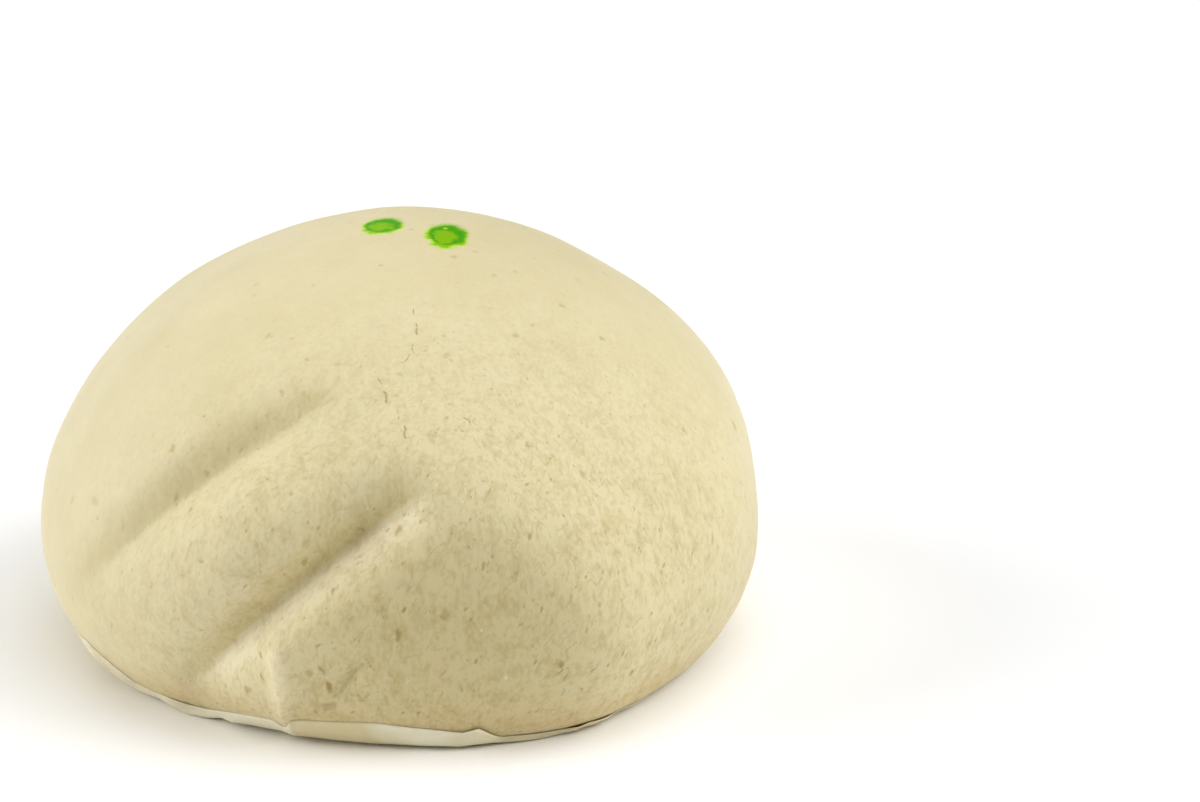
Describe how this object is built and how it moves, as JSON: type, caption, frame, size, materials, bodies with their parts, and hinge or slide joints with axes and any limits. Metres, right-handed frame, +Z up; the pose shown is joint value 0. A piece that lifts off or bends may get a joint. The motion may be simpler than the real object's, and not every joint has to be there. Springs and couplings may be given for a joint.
{
  "type": "steamed bun",
  "caption": "Whole domed steamed bun of pale dough with pressed folds and green dye rings on top, sitting on its round of baking paper.",
  "frame": {"origin": "on the table, under the middle of the box round the bun and its paper", "axes": "+Z up through the crown, -Y the folded front, +X the bun's right as seen from the front"},
  "size_m": [0.1036, 0.102, 0.0602],
  "materials": {
    "dough": "matte, slightly translucent steamed dough with fine pores",
    "baking_paper": "thin translucent baking paper, soft sheen"
  },
  "bodies": {
    "root": {"bun": "dough", "paper": "baking_paper"}
  },
  "joints": []
}
